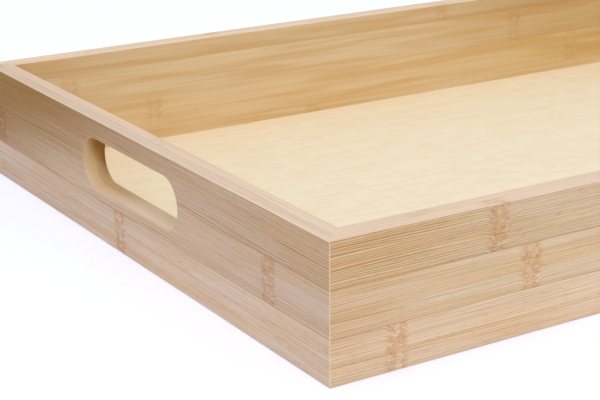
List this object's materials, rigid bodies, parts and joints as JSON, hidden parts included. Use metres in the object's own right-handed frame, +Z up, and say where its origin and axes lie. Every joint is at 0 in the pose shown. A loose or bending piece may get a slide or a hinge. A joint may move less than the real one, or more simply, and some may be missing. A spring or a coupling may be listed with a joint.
{
  "type": "bamboo tray",
  "caption": "Rectangular bamboo serving tray: mitred walls of glued bamboo strips, an oblong hand hole through each short side, and a thin pressed-bamboo floor.",
  "frame": {"origin": "middle of the underside, on the surface that the tray stands on", "axes": "+X along the long boards, +Y from the front board to the back board, +Z up out of the tray"},
  "size_m": [0.5, 0.34, 0.06],
  "materials": {
    "outer_bamboo": "sanded carbonised bamboo strips, clear satin lacquer",
    "inner_bamboo": "sanded carbonised bamboo strips, clear satin lacquer",
    "floor_face_mat": "pressed mat of pale bamboo slivers, clear satin lacquer",
    "floor_core": "cross-laid bamboo veneer, raw",
    "floor_back_veneer": "bamboo veneer, sanded, thin lacquer",
    "spline_bamboo": "sawn bamboo, raw",
    "steel_pin": "plain drawn steel"
  },
  "bodies": {
    "root": {"front_outer_strip_1": "outer_bamboo", "front_outer_strip_2": "outer_bamboo", "front_outer_strip_3": "outer_bamboo", "front_inner_strip_1": "inner_bamboo", "front_inner_strip_2": "inner_bamboo", "front_inner_strip_3": "inner_bamboo", "front_inner_strip_4": "inner_bamboo", "right_outer_strip_1": "outer_bamboo", "right_outer_strip_2": "outer_bamboo", "right_outer_strip_3": "outer_bamboo", "right_inner_strip_1": "inner_bamboo", "right_inner_strip_2": "inner_bamboo", "right_inner_strip_3_front": "inner_bamboo", "right_inner_strip_3_back": "inner_bamboo", "right_inner_strip_4": "inner_bamboo", "back_outer_strip_1": "outer_bamboo", "back_outer_strip_2": "outer_bamboo", "back_outer_strip_3": "outer_bamboo", "back_inner_strip_1": "inner_bamboo", "back_inner_strip_2": "inner_bamboo", "back_inner_strip_3": "inner_bamboo", "back_inner_strip_4": "inner_bamboo", "left_outer_strip_1": "outer_bamboo", "left_outer_strip_2": "outer_bamboo", "left_outer_strip_3": "outer_bamboo", "left_inner_strip_1": "inner_bamboo", "left_inner_strip_2": "inner_bamboo", "left_inner_strip_3_front": "inner_bamboo", "left_inner_strip_3_back": "inner_bamboo", "left_inner_strip_4": "inner_bamboo", "floor_face_mat": "floor_face_mat", "floor_core": "floor_core", "floor_back_veneer": "floor_back_veneer", "corner_spline_front_left": "spline_bamboo", "corner_spline_front_right": "spline_bamboo", "corner_spline_back_left": "spline_bamboo", "corner_spline_back_right": "spline_bamboo", "floor_pin_front_1": "steel_pin", "floor_pin_front_2": "steel_pin", "floor_pin_front_3": "steel_pin", "floor_pin_front_4": "steel_pin", "floor_pin_back_1": "steel_pin", "floor_pin_back_2": "steel_pin", "floor_pin_back_3": "steel_pin", "floor_pin_back_4": "steel_pin", "floor_pin_left_1": "steel_pin", "floor_pin_left_2": "steel_pin", "floor_pin_left_3": "steel_pin", "floor_pin_right_1": "steel_pin", "floor_pin_right_2": "steel_pin", "floor_pin_right_3": "steel_pin"}
  },
  "joints": []
}
